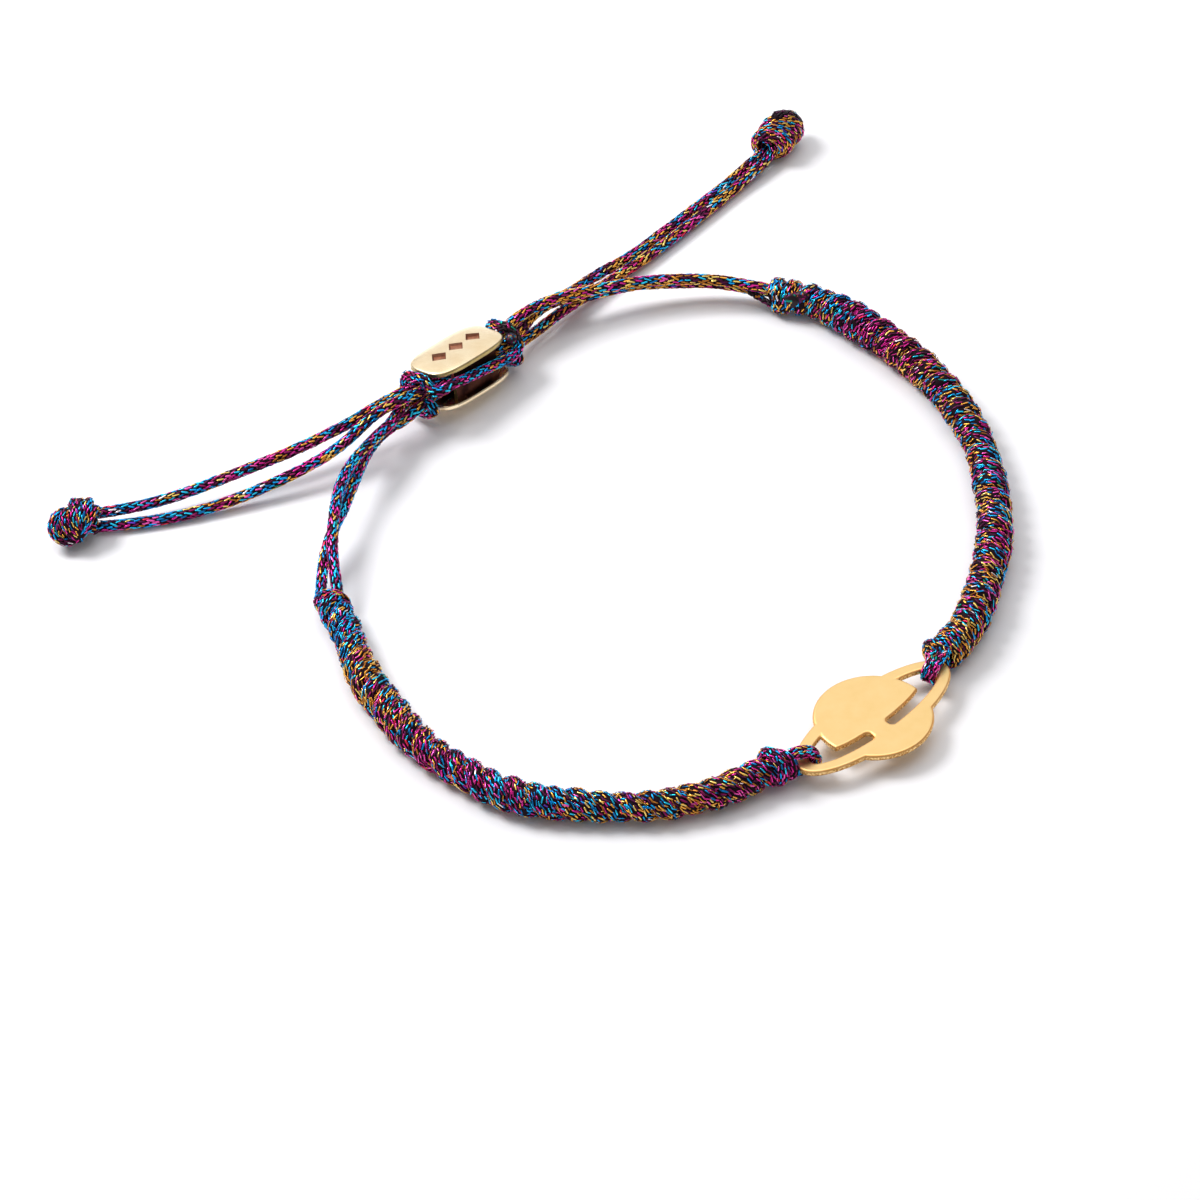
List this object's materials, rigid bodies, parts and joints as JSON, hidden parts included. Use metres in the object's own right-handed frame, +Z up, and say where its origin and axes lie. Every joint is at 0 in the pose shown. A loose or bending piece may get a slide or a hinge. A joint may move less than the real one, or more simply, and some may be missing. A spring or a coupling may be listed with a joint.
{
  "type": "woven bracelet with pierced charm and sliding clasp",
  "caption": "Adjustable bracelet of metallic braided cord: two ribbed wrapped bands, a flat pierced gold charm, a sliding clasp and knotted cord tails.",
  "frame": {"origin": "on the surface under the middle of the bracelet's loop", "axes": "+Z up from the surface that the bracelet lies on, +Y from the charm towards the sliding clasp's side, +X towards the plain right band"},
  "size_m": [0.0759, 0.0847, 0.0049],
  "materials": {
    "charm": "satin gold plate",
    "slider": "pale polished gold plate, darkened in the recesses",
    "lashing": "braided metallic thread, mixed blue, magenta and gold",
    "band": "wrapped metallic thread, mixed blue, magenta and gold",
    "cord": "braided metallic thread, mixed gold, blue and magenta"
  },
  "bodies": {
    "root": {"charm": "charm", "slider": "slider", "slider_lashing": "lashing", "band_left": "band", "band_right": "band", "charm_loop_left": "band", "charm_loop_right": "band", "strand_a_1": "cord", "strand_a_2": "cord", "strand_b_1": "cord", "strand_b_2": "cord", "knot_left": "cord", "knot_right": "cord"}
  },
  "joints": []
}
